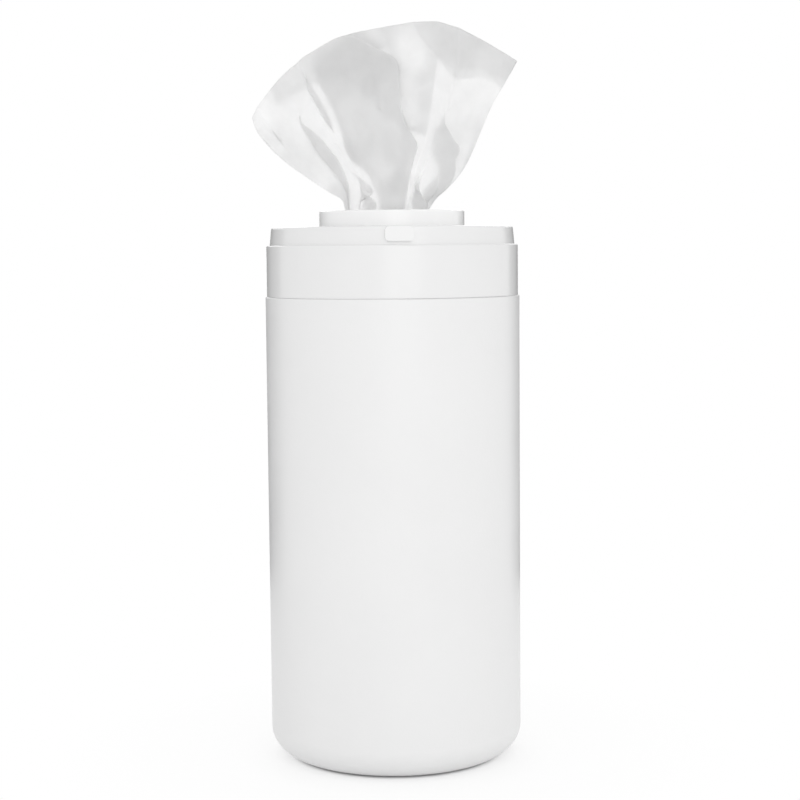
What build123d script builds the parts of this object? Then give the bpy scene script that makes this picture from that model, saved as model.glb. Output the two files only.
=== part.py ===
from build123d import *
from math import sqrt
import os

# Countertop wipes dispenser: a canister, its closure with a flip lid, and the roll of wipes inside.
# Millimetres, +Z up. The origin is the middle of the base, and the catch lug is at the front, at -Y.
# The lid lies open behind the closure, turned half round on its hinge.

# ---------------------------------------------------------------- driving dimensions

# canister
body_radius = 51.0
body_taper = 0.15  # the foot's radius is smaller by this
body_height = 186.1  # from the base to the shoulder
canister_wall = 1.1
heel_reach = 14.2  # the heel is a quarter of an ellipse, this far in
heel_rise = 12.0  # and this high
standing_ring = 5.0  # width of the flat ring that it stands on
push_up = 3.0  # the base is raised this much inside the ring
push_up_slope = 4.0
shoulder_round = 0.35
neck_wall = 1.3
neck_bead_reach = 0.9
neck_bead_height = 2.4
neck_bead_rise = 8.0  # from the shoulder to the middle of the bead

# closure
closure_wall = 1.4
skirt_step = 0.6  # the skirt is this much inside the body's wall
skirt_height = 20.35
seam_gap = 0.05  # between the shoulder and the skirt
tier_height = 7.1
tier_lean = 0.65  # the tier's top is this much smaller in radius
tier_round = 0.9
ledge_round = 0.6
skirt_round = 0.1
collar_radius = 29.1
collar_wall = 2.1
collar_height = 6.4
collar_round = 0.45
throat_depth = 10.0  # from the collar's rim to the throat floor
snap_rib_drop = 3.2  # the skirt's snap rib is this far under the neck's bead
snap_clearance = 0.3  # the snap's grip is left out, so the rib passes the bead
neck_fit = 0.5
lug_width = 10.9
lug_reach = 1.2
lug_lift = 1.3  # above the ledge
lug_drop = 0.2  # below the tier's deck
lug_corner = 1.6

# flip lid, its hinge and its seal
lid_wall = 1.05
lid_fit = 0.3  # between the tier and the lid
lid_seat_gap = 0.2  # between the ledge and the lid's rim
lid_top_thickness = 1.6
lid_top_round = 2.4
tab_width = 24.0
tab_reach = 7.0
tab_thickness = 2.3
tab_corner = 4.0
pocket_side_gap = 0.6
pocket_gap = 0.4
hinge_offset = 2.6  # from the skirt's outside to the hinge axis
barrel_radius = 2.25
barrel_half_length = 9.8
stub_radius = 1.3
stub_length = 3.0
stub_fit = 0.05
ear_radius = 2.6
ear_thickness = 3.6
ear_gap = 0.4  # between each ear and the barrel's end
ear_drop = 9.0
web_height = 4.4
web_half_width = 9.0
stop_half_width = 8.0
stop_thickness = 1.6
stop_gap = 0.1

# seals and throat insert
neck_gasket_thickness = 1.0
neck_gasket_width = 2.0
seat_gap = 0.1  # each seal is drawn just clear of what it shuts on
lid_gasket_thickness = 2.0
lid_gasket_overlap = 1.5  # past the collar's wall, each side
gasket_rib = 0.7
gasket_rib_height = 1.2
gasket_rib_gap = 0.1
aperture_radius = 17.0  # of the throat floor
insert_flange = 2.4
insert_flange_thickness = 1.1
insert_lip = 2.1  # width of the insert's stiff ring inside the aperture
insert_fit = 0.15
diaphragm_thickness = 0.8
throat_clearance = 0.4
star_slits = 8
slit_width = 0.6
slit_length = 6.0

# wipes
roll_height = 178.0
roll_slack = 0.9  # between the roll and the neck that it goes in through
roll_edge = 1.0
core_radius = 19.0
sheet_length = 203.0
fan_reach = 86.0  # of the first wipe that stands out of the throat
rope_radius = 5.8  # the wipe where it is gathered
peel_gap = 0.5  # between the roll's core and the next wipe
peel_thickness = 4.0  # the space that the next wipe's pleats take up
peel_angle = 150.0
peel_rise = 40.0  # from the floor of the canister to where the next wipe leaves the core
peel_foot = 8.0

# ---------------------------------------------------------------- what follows from them

skirt_radius = body_radius - skirt_step
tier_radius = skirt_radius - lid_wall - lid_fit
tier_top_radius = tier_radius - tier_lean
neck_radius = tier_top_radius - closure_wall - neck_fit
neck_bore = neck_radius - neck_wall
collar_bore = collar_radius - collar_wall

skirt_bottom = body_height + seam_gap
ledge_z = skirt_bottom + skirt_height
deck_z = ledge_z + tier_height
collar_z = deck_z + collar_height
throat_z = collar_z - throat_depth
deck_underside = deck_z - closure_wall
throat_underside = throat_z - closure_wall
neck_lip = deck_underside - neck_gasket_thickness - seat_gap
neck_bead_z = body_height + neck_bead_rise

floor_z = push_up + canister_wall  # the roll stands on it
foot_radius = body_radius - body_taper
ring_radius = foot_radius - heel_reach

hinge_y = skirt_radius + hinge_offset
hinge_z = ledge_z
lid_radius = tier_radius + lid_fit + lid_wall
lid_bore = tier_radius + lid_fit
rim_z = ledge_z + lid_seat_gap
ceiling_z = collar_z + seat_gap + lid_gasket_thickness
lid_top_z = ceiling_z + lid_top_thickness
lug_face = tier_radius + lug_reach
lug_bottom = ledge_z + lug_lift
lug_top = deck_z - lug_drop

rope_bottom = throat_z + fan_reach - sheet_length


def corner(sketch, across, up):
    """The sketch's corner nearest to a point, for rounding."""
    return sketch.vertices().sort_by_distance((across, up, 0))[0]


def swung_open(piece):
    """A piece of the lid, built shut, turned half round on the hinge."""
    return piece.rotate(Axis((0, hinge_y, hinge_z), (1, 0, 0)), 180)


def write(piece, label):
    piece.label = label
    export_step(piece, f"parts/{label}.step")


os.makedirs("parts", exist_ok=True)

# ---------------------------------------------------------------- canister
# One blown shell: push-up base, elliptical heel, straight wall, shoulder, and a neck with a snap bead.

with BuildPart() as canister:
    with BuildSketch(Plane.XZ):
        with BuildLine():
            Polyline(
                (0, push_up),
                (ring_radius - standing_ring - push_up_slope, push_up),
                (ring_radius - standing_ring, 0),
                (ring_radius, 0),
            )
            EllipticalCenterArc((ring_radius, heel_rise), heel_reach, heel_rise, 270, arc_size=90)
            Line((foot_radius, heel_rise), (body_radius, body_height - shoulder_round))
            RadiusArc(
                (body_radius, body_height - shoulder_round),
                (body_radius - shoulder_round, body_height),
                -shoulder_round,
            )
            Polyline(
                (body_radius - shoulder_round, body_height),
                (neck_radius, body_height),
                (neck_radius, neck_bead_z - neck_bead_height / 2),
            )
            ThreePointArc(
                (neck_radius, neck_bead_z - neck_bead_height / 2),
                (neck_radius + neck_bead_reach, neck_bead_z),
                (neck_radius, neck_bead_z + neck_bead_height / 2),
            )
            Polyline(
                (neck_radius, neck_bead_z + neck_bead_height / 2),
                (neck_radius, neck_lip),
                (neck_bore, neck_lip),
                (neck_bore, body_height - canister_wall),
                (body_radius - canister_wall, body_height - canister_wall),
                (foot_radius - canister_wall, heel_rise),
            )
            EllipticalCenterArc(
                (ring_radius, heel_rise),
                heel_reach - canister_wall,
                heel_rise - canister_wall,
                270,
                arc_size=90,
            )
            Polyline(
                (ring_radius, canister_wall),
                (ring_radius - standing_ring, canister_wall),
                (ring_radius - standing_ring - push_up_slope, floor_z),
                (0, floor_z),
                (0, push_up),
            )
        make_face()
    revolve(axis=Axis.Z)

write(canister.part, "canister")

# ---------------------------------------------------------------- closure
# One moulding. The ears come first, so that the lid's path can be cut from them before the ring is added.

ear_start = barrel_half_length + ear_gap
ear_root = sqrt((skirt_radius - closure_wall / 2) ** 2 - (ear_start + ear_thickness / 2) ** 2)
stop_top = hinge_z - (web_height + lid_seat_gap) - stop_gap
snap_rib_z = neck_bead_z - snap_rib_drop
snap_rib_radius = neck_radius + neck_bead_reach + snap_clearance

with BuildPart() as closure:
    for side in (-1, 1):
        with BuildSketch(Plane.YZ.offset(side * (ear_start + ear_thickness / 2))):
            with Locations((hinge_y, hinge_z)):
                Circle(ear_radius)
            with BuildLine():
                Line((ear_root, hinge_z - ear_drop), (ear_root, hinge_z))
            make_hull()
        extrude(amount=ear_thickness / 2, both=True)
    with BuildSketch(Plane.XY.offset(ledge_z)):
        Circle(lid_radius + ear_gap)
    extrude(amount=ear_radius * 2, mode=Mode.SUBTRACT)

    with BuildSketch(Plane.XZ) as closure_section:
        with BuildLine():
            Polyline(
                (skirt_radius, skirt_bottom),
                (skirt_radius, ledge_z),
                (tier_radius, ledge_z),
                (tier_top_radius, deck_z),
                (collar_radius, deck_z),
                (collar_radius, collar_z),
                (collar_bore, collar_z),
                (collar_bore, throat_z),
                (aperture_radius, throat_z),
                (aperture_radius, throat_underside),
                (collar_bore + closure_wall, throat_underside),
                (collar_bore + closure_wall, deck_underside),
                (tier_top_radius - closure_wall, deck_underside),
                (tier_radius - closure_wall, ledge_z - closure_wall),
                (skirt_radius - closure_wall, ledge_z - 2 * closure_wall),
                (skirt_radius - closure_wall, skirt_bottom),
                close=True,
            )
        make_face()
        fillet(corner(closure_section, tier_top_radius, deck_z), tier_round)
        fillet(corner(closure_section, skirt_radius, ledge_z), ledge_round)
        fillet(corner(closure_section, skirt_radius, skirt_bottom), skirt_round)
        fillet(corner(closure_section, collar_radius, collar_z), collar_round)
        fillet(corner(closure_section, collar_bore, collar_z), collar_round)
    revolve(axis=Axis.Z)

    # snap rib round the inside of the skirt
    with BuildSketch(Plane.XZ):
        with BuildLine():
            skirt_inside = skirt_radius - closure_wall
            rib_half_height = skirt_inside - snap_rib_radius + 0.3
            Polyline(
                (skirt_inside + closure_wall / 2, snap_rib_z - rib_half_height),
                (skirt_inside, snap_rib_z - rib_half_height),
                (snap_rib_radius, snap_rib_z),
                (skirt_inside, snap_rib_z + rib_half_height),
                (skirt_inside + closure_wall / 2, snap_rib_z + rib_half_height),
                close=True,
            )
        make_face()
    revolve(axis=Axis.Z)

    # catch lug on the front of the tier
    with BuildSketch(Plane.XZ.offset(lug_face)):
        with Locations((0, (lug_bottom + lug_top) / 2)):
            RectangleRounded(lug_width, lug_top - lug_bottom, lug_corner)
    extrude(amount=-(lug_reach + closure_wall))

    # shelf that the open lid's web rests on
    with BuildSketch(Plane.XY.offset(stop_top)):
        with Locations((0, (skirt_radius - closure_wall / 2 + hinge_y + barrel_radius) / 2)):
            Rectangle(2 * stop_half_width, hinge_y + barrel_radius - skirt_radius + closure_wall / 2)
    extrude(amount=-stop_thickness)

    # sockets for the lid's stub pins
    with BuildSketch(Plane.YZ):
        with Locations((hinge_y, hinge_z)):
            Circle(stub_radius + stub_fit)
    extrude(amount=barrel_half_length + stub_length + stub_fit, both=True, mode=Mode.SUBTRACT)

write(closure.part, "closure")

# ---------------------------------------------------------------- flip lid
# One moulding, built shut over the tier and then swung back on its hinge.

pocket_face = lug_face + pocket_gap
pocket_top = lug_top + pocket_gap
gasket_bore = collar_bore - lid_gasket_overlap
gasket_radius = collar_radius + lid_gasket_overlap

with BuildPart() as flip_lid:
    with BuildSketch(Plane.XZ) as lid_section:
        with BuildLine():
            Polyline(
                (0, ceiling_z),
                (lid_bore, ceiling_z),
                (lid_bore, rim_z),
                (lid_radius, rim_z),
                (lid_radius, lid_top_z),
                (0, lid_top_z),
                close=True,
            )
        make_face()
        fillet(corner(lid_section, lid_radius, lid_top_z), lid_top_round)
        fillet(corner(lid_section, lid_bore, ceiling_z), lid_top_round - lid_wall)
    revolve(axis=Axis.Z)

    # ribs that hold the lid's seal
    with BuildSketch(Plane.XY.offset(ceiling_z)):
        Circle(gasket_radius + gasket_rib_gap + gasket_rib)
        Circle(gasket_radius + gasket_rib_gap, mode=Mode.SUBTRACT)
        Circle(gasket_bore - gasket_rib_gap)
        Circle(gasket_bore - gasket_rib_gap - gasket_rib, mode=Mode.SUBTRACT)
    extrude(amount=-gasket_rib_height)

    # thumb tab, and the housing of the pocket that takes the catch lug
    with BuildSketch(Plane.XY.offset(rim_z)):
        with Locations((0, -lid_radius)):
            RectangleRounded(tab_width, 2 * tab_reach, tab_corner)
        Circle(lid_radius - lid_wall / 2, mode=Mode.SUBTRACT)
    extrude(amount=tab_thickness)
    with BuildSketch(Plane.XY.offset(rim_z)):
        with Locations((0, -lid_bore)):
            Rectangle(lug_width + 2 * (pocket_side_gap + lid_wall), 2 * (pocket_face + lid_wall - lid_bore))
        Circle(lid_radius - lid_wall / 2, mode=Mode.SUBTRACT)
    extrude(amount=pocket_top + lid_wall - rim_z)
    with BuildSketch(Plane.XY.offset(rim_z)):
        with Locations((0, -lid_bore)):
            Rectangle(lug_width + 2 * pocket_side_gap, 2 * (pocket_face - lid_bore))
    extrude(amount=pocket_top - rim_z, mode=Mode.SUBTRACT)

    # hinge: web, barrel and stub pins
    with BuildSketch(Plane.YZ):
        with Locations(((lid_radius - lid_wall / 2 + hinge_y) / 2, rim_z + web_height / 2)):
            Rectangle(hinge_y - lid_radius + lid_wall / 2, web_height)
    extrude(amount=web_half_width, both=True)
    with BuildSketch(Plane.YZ):
        with Locations((hinge_y, hinge_z)):
            Circle(barrel_radius)
    extrude(amount=barrel_half_length, both=True)
    with BuildSketch(Plane.YZ):
        with Locations((hinge_y, hinge_z)):
            Circle(stub_radius)
    extrude(amount=barrel_half_length + stub_length, both=True)

write(swung_open(flip_lid.part), "flip_lid")

# ---------------------------------------------------------------- seals
# The lid's ring shuts on the collar's rim, and the neck's ring lies between the lip and the deck.

with BuildPart() as lid_gasket:
    with BuildSketch(Plane.XY.offset(ceiling_z)):
        Circle(gasket_radius)
        Circle(gasket_bore, mode=Mode.SUBTRACT)
    extrude(amount=-lid_gasket_thickness)

write(swung_open(lid_gasket.part), "lid_gasket")

with BuildPart() as neck_gasket:
    with BuildSketch(Plane.XY.offset(deck_underside)):
        Circle(neck_radius + neck_fit / 2)
        Circle(neck_radius + neck_fit / 2 - neck_gasket_width, mode=Mode.SUBTRACT)
    extrude(amount=-neck_gasket_thickness)

write(neck_gasket.part, "neck_gasket")

# ---------------------------------------------------------------- throat insert
# A soft grommet in the throat floor: two flanges, a waist, and a thin diaphragm slit into a star.

insert_waist = aperture_radius - insert_fit
insert_bore = insert_waist - insert_lip
throat_hole = rope_radius + throat_clearance
insert_bottom = throat_underside - insert_flange_thickness
diaphragm_z = (throat_z + throat_underside) / 2

with BuildPart() as throat_insert:
    with BuildSketch(Plane.XZ):
        with BuildLine():
            Polyline(
                (throat_hole, diaphragm_z - diaphragm_thickness / 2),
                (insert_bore, diaphragm_z - diaphragm_thickness / 2),
                (insert_bore, insert_bottom),
                (aperture_radius + insert_flange, insert_bottom),
                (aperture_radius + insert_flange, throat_underside),
                (insert_waist, throat_underside),
                (insert_waist, throat_z),
                (aperture_radius + insert_flange, throat_z),
                (aperture_radius + insert_flange, throat_z + insert_flange_thickness),
                (insert_bore, throat_z + insert_flange_thickness),
                (insert_bore, diaphragm_z + diaphragm_thickness / 2),
                (throat_hole, diaphragm_z + diaphragm_thickness / 2),
                close=True,
            )
        make_face()
    revolve(axis=Axis.Z)
    with BuildSketch(Plane.XY.offset(diaphragm_z - diaphragm_thickness)):
        with PolarLocations(throat_hole, star_slits):
            Rectangle(2 * slit_length, slit_width)
    extrude(amount=2 * diaphragm_thickness, mode=Mode.SUBTRACT)

write(throat_insert.part, "throat_insert")

# ---------------------------------------------------------------- roll of wipes
# A coreless roll, which stands on the canister's floor and is used from the inside out.

with BuildPart() as wipe_roll:
    with BuildSketch(Plane.XY.offset(floor_z)):
        Circle(neck_bore - roll_slack)
        Circle(core_radius, mode=Mode.SUBTRACT)
    extrude(amount=roll_height)
    fillet(wipe_roll.edges().filter_by(GeomType.CIRCLE), roll_edge)

write(wipe_roll.part, "wipe_roll")

# ---------------------------------------------------------------- next wipe
# It peels off the inside of the roll and gathers to a rope, up to the first wipe's perforation.


def bent_band(outer, inner):
    """A part of a ring that faces the front."""
    start = 270 - peel_angle / 2
    left = CenterArc((0, 0), outer, start, arc_size=peel_angle)
    right = CenterArc((0, 0), inner, start, arc_size=peel_angle)
    Line(left @ 0, right @ 0)
    Line(left @ 1, right @ 1)


peel_radius = core_radius - peel_gap
peel_z = floor_z + peel_rise

with BuildPart() as next_wipe:
    for level, outer, inner in (
        (rope_bottom, rope_radius, rope_radius - peel_thickness),
        (peel_z, peel_radius, peel_radius - peel_thickness),
    ):
        with BuildSketch(Plane.XY.offset(level)):
            with BuildLine():
                bent_band(outer, inner)
            make_face()
    loft(ruled=True)
    with BuildSketch(Plane.XY.offset(peel_z)):
        with BuildLine():
            bent_band(peel_radius, peel_radius - peel_thickness)
        make_face()
    extrude(amount=-(peel_rise - peel_foot))

write(next_wipe.part, "next_wipe")

# ---------------------------------------------------------------- wipe
# The first wipe: gathered in the throat, with its main folds fanned out above the collar.
# Each row is a height above the throat floor, the thickness there, and where its fold lines are, across and
# back, from left to right: left edge, soft fold, ridge, valley, ridge, valley, right edge.

# where it leaves the throat, in shares of the rope's radius
rope_rows = (
    (-0.09, 0.79, (-0.78, -0.52, -0.2, 0.05, 0.31, 0.52, 0.78), (0.09, -0.14, -0.26, 0.17, -0.2, 0.14, 0)),
)
# above it, in shares of the fan's reach
fan_rows = (
    (0.13, 0.03, (-0.23, -0.12, -0.03, 0.02, 0.07, 0.12, 0.17), (0.03, 0, -0.06, 0.04, -0.05, 0.02, -0.01)),
    (0.35, 0.02, (-0.5, -0.33, -0.19, -0.02, 0.12, 0.23, 0.36), (0.08, -0.02, -0.1, 0.08, -0.08, 0.05, -0.02)),
    (0.44, 0.02, (-0.59, -0.38, -0.23, -0.01, 0.15, 0.26, 0.4), (0.1, -0.02, -0.12, 0.09, -0.09, 0.06, -0.02)),
    (0.58, 0.017, (-0.67, -0.44, -0.27, 0, 0.18, 0.3, 0.46), (0.12, -0.02, -0.14, 0.1, -0.1, 0.07, -0.02)),
    (1.05, 0.016, (-1, -0.77, -0.53, -0.02, 0.19, 0.38, 0.72), (0.16, -0.02, -0.19, 0.14, -0.14, 0.1, -0.03)),
)
# the torn top edge, in shares of the fan's reach
top_left = (-0.72, 0.435)
top_shoulder = (-0.484, 0.771)
top_crown_start = (-0.149, 0.96)
top_crown = (0.093, 0.991)
top_crown_end = (0.328, 0.956)
top_right = (0.767, 0.692)


def shares(point):
    """A point of the top edge in millimetres, from its shares of the fan's reach."""
    return (point[0] * fan_reach, point[1] * fan_reach)


with BuildPart() as wipe:
    for rows, unit in ((rope_rows, rope_radius), (fan_rows, fan_reach)):
        for height, thickness, across, back in rows:
            with BuildSketch(Plane.XY.offset(throat_z + height * unit)):
                with BuildLine():
                    front = [(x * unit, (y - thickness / 2) * unit) for x, y in zip(across, back)]
                    rear = [(x * unit, (y + thickness / 2) * unit) for x, y in zip(across, back)]
                    Polyline(*front, *reversed(rear), close=True)
                make_face()
    loft(ruled=True)
    with BuildSketch(Plane.XZ.offset(fan_reach)):
        with BuildLine(Location((0, throat_z, 0))):
            ThreePointArc(shares(top_left), shares(top_shoulder), shares(top_crown_start))
            ThreePointArc(shares(top_crown_start), shares(top_crown), shares(top_crown_end))
            Polyline(
                shares(top_crown_end),
                shares(top_right),
                (shares(top_right)[0], -rope_radius),
                (shares(top_left)[0], -rope_radius),
                shares(top_left),
            )
        make_face()
    extrude(amount=-2 * fan_reach, mode=Mode.INTERSECT)
    with BuildSketch(Plane.XY.offset(rope_bottom)):
        Circle(rope_radius)
    extrude(amount=throat_z - rope_bottom)

write(wipe.part, "wipe")
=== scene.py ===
from math import cos, pi, radians, sin

import bpy
import numpy as np
from mathutils import Matrix, Vector, noise


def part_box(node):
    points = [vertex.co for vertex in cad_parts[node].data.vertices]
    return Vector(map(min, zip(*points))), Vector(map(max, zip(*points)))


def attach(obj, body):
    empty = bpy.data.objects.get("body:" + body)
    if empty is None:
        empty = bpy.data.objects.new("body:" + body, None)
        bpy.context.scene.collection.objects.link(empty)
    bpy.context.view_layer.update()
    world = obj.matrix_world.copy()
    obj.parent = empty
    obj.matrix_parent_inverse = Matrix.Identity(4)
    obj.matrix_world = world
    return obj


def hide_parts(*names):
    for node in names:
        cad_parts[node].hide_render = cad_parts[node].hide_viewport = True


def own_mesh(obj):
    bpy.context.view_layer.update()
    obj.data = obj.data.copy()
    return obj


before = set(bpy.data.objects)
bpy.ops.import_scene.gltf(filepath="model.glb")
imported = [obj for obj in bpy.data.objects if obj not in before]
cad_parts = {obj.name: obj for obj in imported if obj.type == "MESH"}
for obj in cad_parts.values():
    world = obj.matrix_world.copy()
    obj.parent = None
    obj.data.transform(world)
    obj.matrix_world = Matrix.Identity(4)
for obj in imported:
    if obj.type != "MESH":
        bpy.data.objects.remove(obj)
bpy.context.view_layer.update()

# %% [markdown]
# # Countertop wipes dispenser
#
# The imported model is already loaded: every piece of the dispenser stands where the source puts it, in metres,
# with +Z up and the front at -Y. This lesson dresses it. The moulded pieces keep their shapes and get
# materials, and the wipes are modelled here, because thin cloth is beyond a solid modeller.

# %% Sizes that the cells below share
MM = 0.001
CANISTER_LOW, CANISTER_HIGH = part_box("canister")
ROLL_LOW, ROLL_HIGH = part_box("wipe_roll")
WIPE_LOW, WIPE_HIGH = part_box("wipe")
NEXT_LOW, NEXT_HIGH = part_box("next_wipe")
THROAT_Z = 0.210  # top of the throat floor, where the wipe leaves the canister
ROPE_RADIUS = 0.0058  # the wipe where the throat gathers it
print("canister", CANISTER_LOW, CANISTER_HIGH)
print("wipe", WIPE_LOW, WIPE_HIGH)

# %% [markdown]
# ## The camera
#
# The photograph is taken from just above the closure, looking slightly down, with a long lens. Blender's
# camera could be aimed with a Track To constraint, but that keeps it level. So its directions are worked out
# from three small angles, which fit the photograph's edges: how far it looks down, how far it is rolled,
# and how far the dispenser is turned from it. The lens is in millimetres on a 36 mm sensor.

# %% Place the camera
SENSOR_MM = 36.0
LENS_MM = 82.53
LOOK_DOWN = 0.0828  # radians
ROLLED = -0.0089  # radians
TURNED = radians(3.45)  # the dispenser's front is turned this far to the right
CAMERA_IN_VIEW = Vector((2.6414, -739.4777, 205.27))  # millimetres, before the turn
FARTHEST_SEEN = 20.0  # metres

turn_back = Matrix.Rotation(-TURNED, 3, "Z")
across = Vector((1, 0, 0))
forward = Vector((0, cos(LOOK_DOWN), -sin(LOOK_DOWN)))
upward = Vector((0, sin(LOOK_DOWN), cos(LOOK_DOWN)))
rolled_across = across * cos(ROLLED) + upward * sin(ROLLED)
rolled_upward = upward * cos(ROLLED) - across * sin(ROLLED)
axes = [turn_back @ axis for axis in (rolled_across, rolled_upward, -forward)]

camera = bpy.data.objects.new("camera", bpy.data.cameras.new("camera"))
camera.data.lens = LENS_MM
camera.data.sensor_width = SENSOR_MM
camera.data.clip_end = FARTHEST_SEEN
camera.matrix_world = Matrix.Translation(turn_back @ CAMERA_IN_VIEW * MM) @ Matrix(axes).transposed().to_4x4()
bpy.context.scene.collection.objects.link(camera)
bpy.context.scene.camera = camera
bpy.context.scene.view_settings.view_transform = "Standard"
print("camera at", tuple(round(value, 3) for value in camera.matrix_world.translation))


# %% [markdown]
# ## A small language for materials
#
# Blender's materials are trees of nodes. Wiring them by hand in Python is long, so a `Wire` wraps one
# output socket, and sums on wires add the Math nodes for us. `Finish` holds one tree, and its `node` method
# adds any other kind of node: first its settings, then what its sockets take.

# %% Wire: a socket that can be used in sums
class Wire:
    """An output socket of a value, which adds the Math node it needs when it is used in a sum."""

    def __init__(self, finish, socket):
        self.finish, self.socket = finish, socket

    def sum(self, operation, first, second):
        return self.finish.node("ShaderNodeMath", {"operation": operation}, {0: first, 1: second})

    def __add__(self, other):
        return self.sum("ADD", self, other)

    def __radd__(self, other):
        return self.sum("ADD", other, self)

    def __sub__(self, other):
        return self.sum("SUBTRACT", self, other)

    def __rsub__(self, other):
        return self.sum("SUBTRACT", other, self)

    def __mul__(self, other):
        return self.sum("MULTIPLY", self, other)

    def __rmul__(self, other):
        return self.sum("MULTIPLY", other, self)

    def __truediv__(self, other):
        return self.sum("DIVIDE", self, other)

    def __rtruediv__(self, other):
        return self.sum("DIVIDE", other, self)

    def __gt__(self, other):
        return self.sum("GREATER_THAN", self, other)


# %% Finish: one tree of nodes
LIKELY_NOISE = (0.3, 0.7)  # most of what a Noise Texture gives lies between these


class Finish:
    """The node tree of a material or of the world."""

    def __init__(self, owner):
        owner.use_nodes = True
        self.tree = owner.node_tree
        self.tree.nodes.clear()

    def node(self, kind, settings=None, sockets=None, out=0):
        """Adds a node: its settings are set first, then each socket gets a number, a colour or a Wire."""
        added = self.tree.nodes.new(kind)
        for name, value in (settings or {}).items():
            if name == "stops":
                ramp = added.color_ramp
                while len(ramp.elements) < len(value):
                    ramp.elements.new(0.5)
                for element, (place, level) in zip(ramp.elements, value):
                    element.position = place
                    element.color = (level, level, level, 1)
            else:
                setattr(added, name, value)
        for name, value in (sockets or {}).items():
            if isinstance(value, Wire):
                self.tree.links.new(value.socket, added.inputs[name])
            else:
                added.inputs[name].default_value = value
        return Wire(self, added.outputs[out]) if len(added.outputs) else added

    def place(self, scale=1.0, stretch=(1, 1, 1)):
        """Where a point of the surface is on its own object, in metres times scale."""
        point = self.node("ShaderNodeTexCoord", out=3)
        size = tuple(scale * part for part in stretch)
        return self.node("ShaderNodeMapping", {}, {"Vector": point, "Scale": size})

    def grain(self, scale, detail=2.0, roughness=0.5, stretch=(1, 1, 1)):
        """Noise from 0 to 1, with this many waves a metre."""
        inputs = {"Vector": self.place(1.0, stretch), "Scale": scale, "Detail": detail,
                  "Roughness": roughness}
        return self.node("ShaderNodeTexNoise", {}, inputs)

    def curve(self, value, *stops):
        """A value bent through stops of (place, level)."""
        return self.node("ShaderNodeValToRGB", {"stops": stops}, {"Fac": value})

    def span(self, value, low, high, to_low=0.0, to_high=1.0):
        """A value moved smoothly from one span to another."""
        inputs = {0: value, 1: low, 2: high, 3: to_low, 4: to_high}
        return self.node("ShaderNodeMapRange", {"interpolation_type": "SMOOTHSTEP"}, inputs)

    def vary(self, noise_value, middle, swing):
        """A value that wanders with a noise, up to swing on either side of its middle."""
        return self.span(noise_value, *LIKELY_NOISE, middle - swing, middle + swing)

    def grey(self, level):
        """A grey colour whose level is a Wire."""
        return self.node("ShaderNodeCombineColor", {}, {0: level, 1: level, 2: level})

    def bump(self, height, distance, strength=1.0):
        """A normal that shows the height, which is in units of distance metres."""
        inputs = {"Strength": strength, "Distance": distance, "Height": height}
        return self.node("ShaderNodeBump", {}, inputs)

    def seen(self):
        """1 for the rays that show a thing, straight, mirrored or through glass, and 0 for light."""
        straight, mirrored, through_glass = (self.node("ShaderNodeLightPath", out=n) for n in (0, 3, 6))
        return straight + mirrored + through_glass > 0.5

    def output(self, surface, kind="ShaderNodeOutputMaterial"):
        self.node(kind, {}, {"Surface": surface})


def grey(level):
    """A grey colour whose level is a number."""
    return (level, level, level, 1)


print("material helpers are ready")

# %% [markdown]
# ## The studio
#
# The object is white on white, so what draws its edges is what it doesn't get: light from the sides behind
# it. The world could be darker than the picture's background, but then the plastics would look grey from
# every side. So the world is plain white where it is seen, at strength 1, and two dark flags stand behind
# the dispenser, as they do in a photographer's studio, where the camera doesn't see them. They keep white
# light off the sides, so the edges go grey. A soft box above and behind lights the wipe from the back,
# because a wipe glows when light comes through it. To leave room for that light, the world gives only part
# of its strength to the object. The floor is white where it is seen, and still keeps the shadow.

# %% World
world = bpy.data.worlds.new("studio")
bpy.context.scene.world = world
WORLD_LIGHT = 0.8  # what lights the object, where the white that is seen is 1
studio = Finish(world)
world_strength = WORLD_LIGHT + (1 - WORLD_LIGHT) * studio.seen()
studio.output(studio.node("ShaderNodeBackground", {}, {"Color": grey(1.0), "Strength": world_strength}),
              "ShaderNodeOutputWorld")
print("the world lights the object at", WORLD_LIGHT)


# %% Helpers for the floor and the flags
def panel(name, lower, upper, columns=24):
    """A curved panel between a lower and an upper line of points, each given as a function of 0 to 1."""
    points = []
    for column in range(columns + 1):
        share = column / columns
        points += [lower(share), upper(share)]
    faces = [(2 * c, 2 * c + 2, 2 * c + 3, 2 * c + 1) for c in range(columns)]
    mesh = bpy.data.meshes.new(name)
    mesh.from_pydata(points, [], faces)
    made = bpy.data.objects.new(name, mesh)
    bpy.context.scene.collection.objects.link(made)
    return made


def studio_material(name, level, whiteness=()):
    """A matt material of the studio. Whiteness is how far it is plain white to the rays that show it, as
    stops of (metres from the dispenser's axis, share)."""
    material = bpy.data.materials.new(name)
    finish = Finish(material)
    surface = finish.node("ShaderNodeBsdfDiffuse", {}, {"Color": grey(level)})
    if whiteness:
        reach = whiteness[-1][0]
        distance = finish.node("ShaderNodeVectorMath", {"operation": "LENGTH"}, {0: finish.place()}, out=1)
        share = finish.curve(distance / reach, *((place / reach, part) for place, part in whiteness))
        white = finish.node("ShaderNodeEmission", {}, {"Color": grey(1.0), "Strength": 1.0})
        surface = finish.node("ShaderNodeMixShader", {}, {0: finish.seen() * share, 1: surface, 2: white})
    finish.output(surface)
    return material


FLOOR_HALF = 6.0  # metres


def along_floor(depth):
    """A line of points across the floor."""
    return lambda share: (-FLOOR_HALF + 2 * FLOOR_HALF * share, depth, 0)


def around(distance, start, end, height):
    """A line of points on an arc round the dispenser. Angles are in degrees from straight behind it."""
    def point(share):
        angle = radians(start + (end - start) * share) - TURNED
        return (distance * sin(angle), distance * cos(angle), height)
    return point


# %% Floor and flags
FLOOR_GREY, FLAG_GREY = 0.92, 0.02
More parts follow.
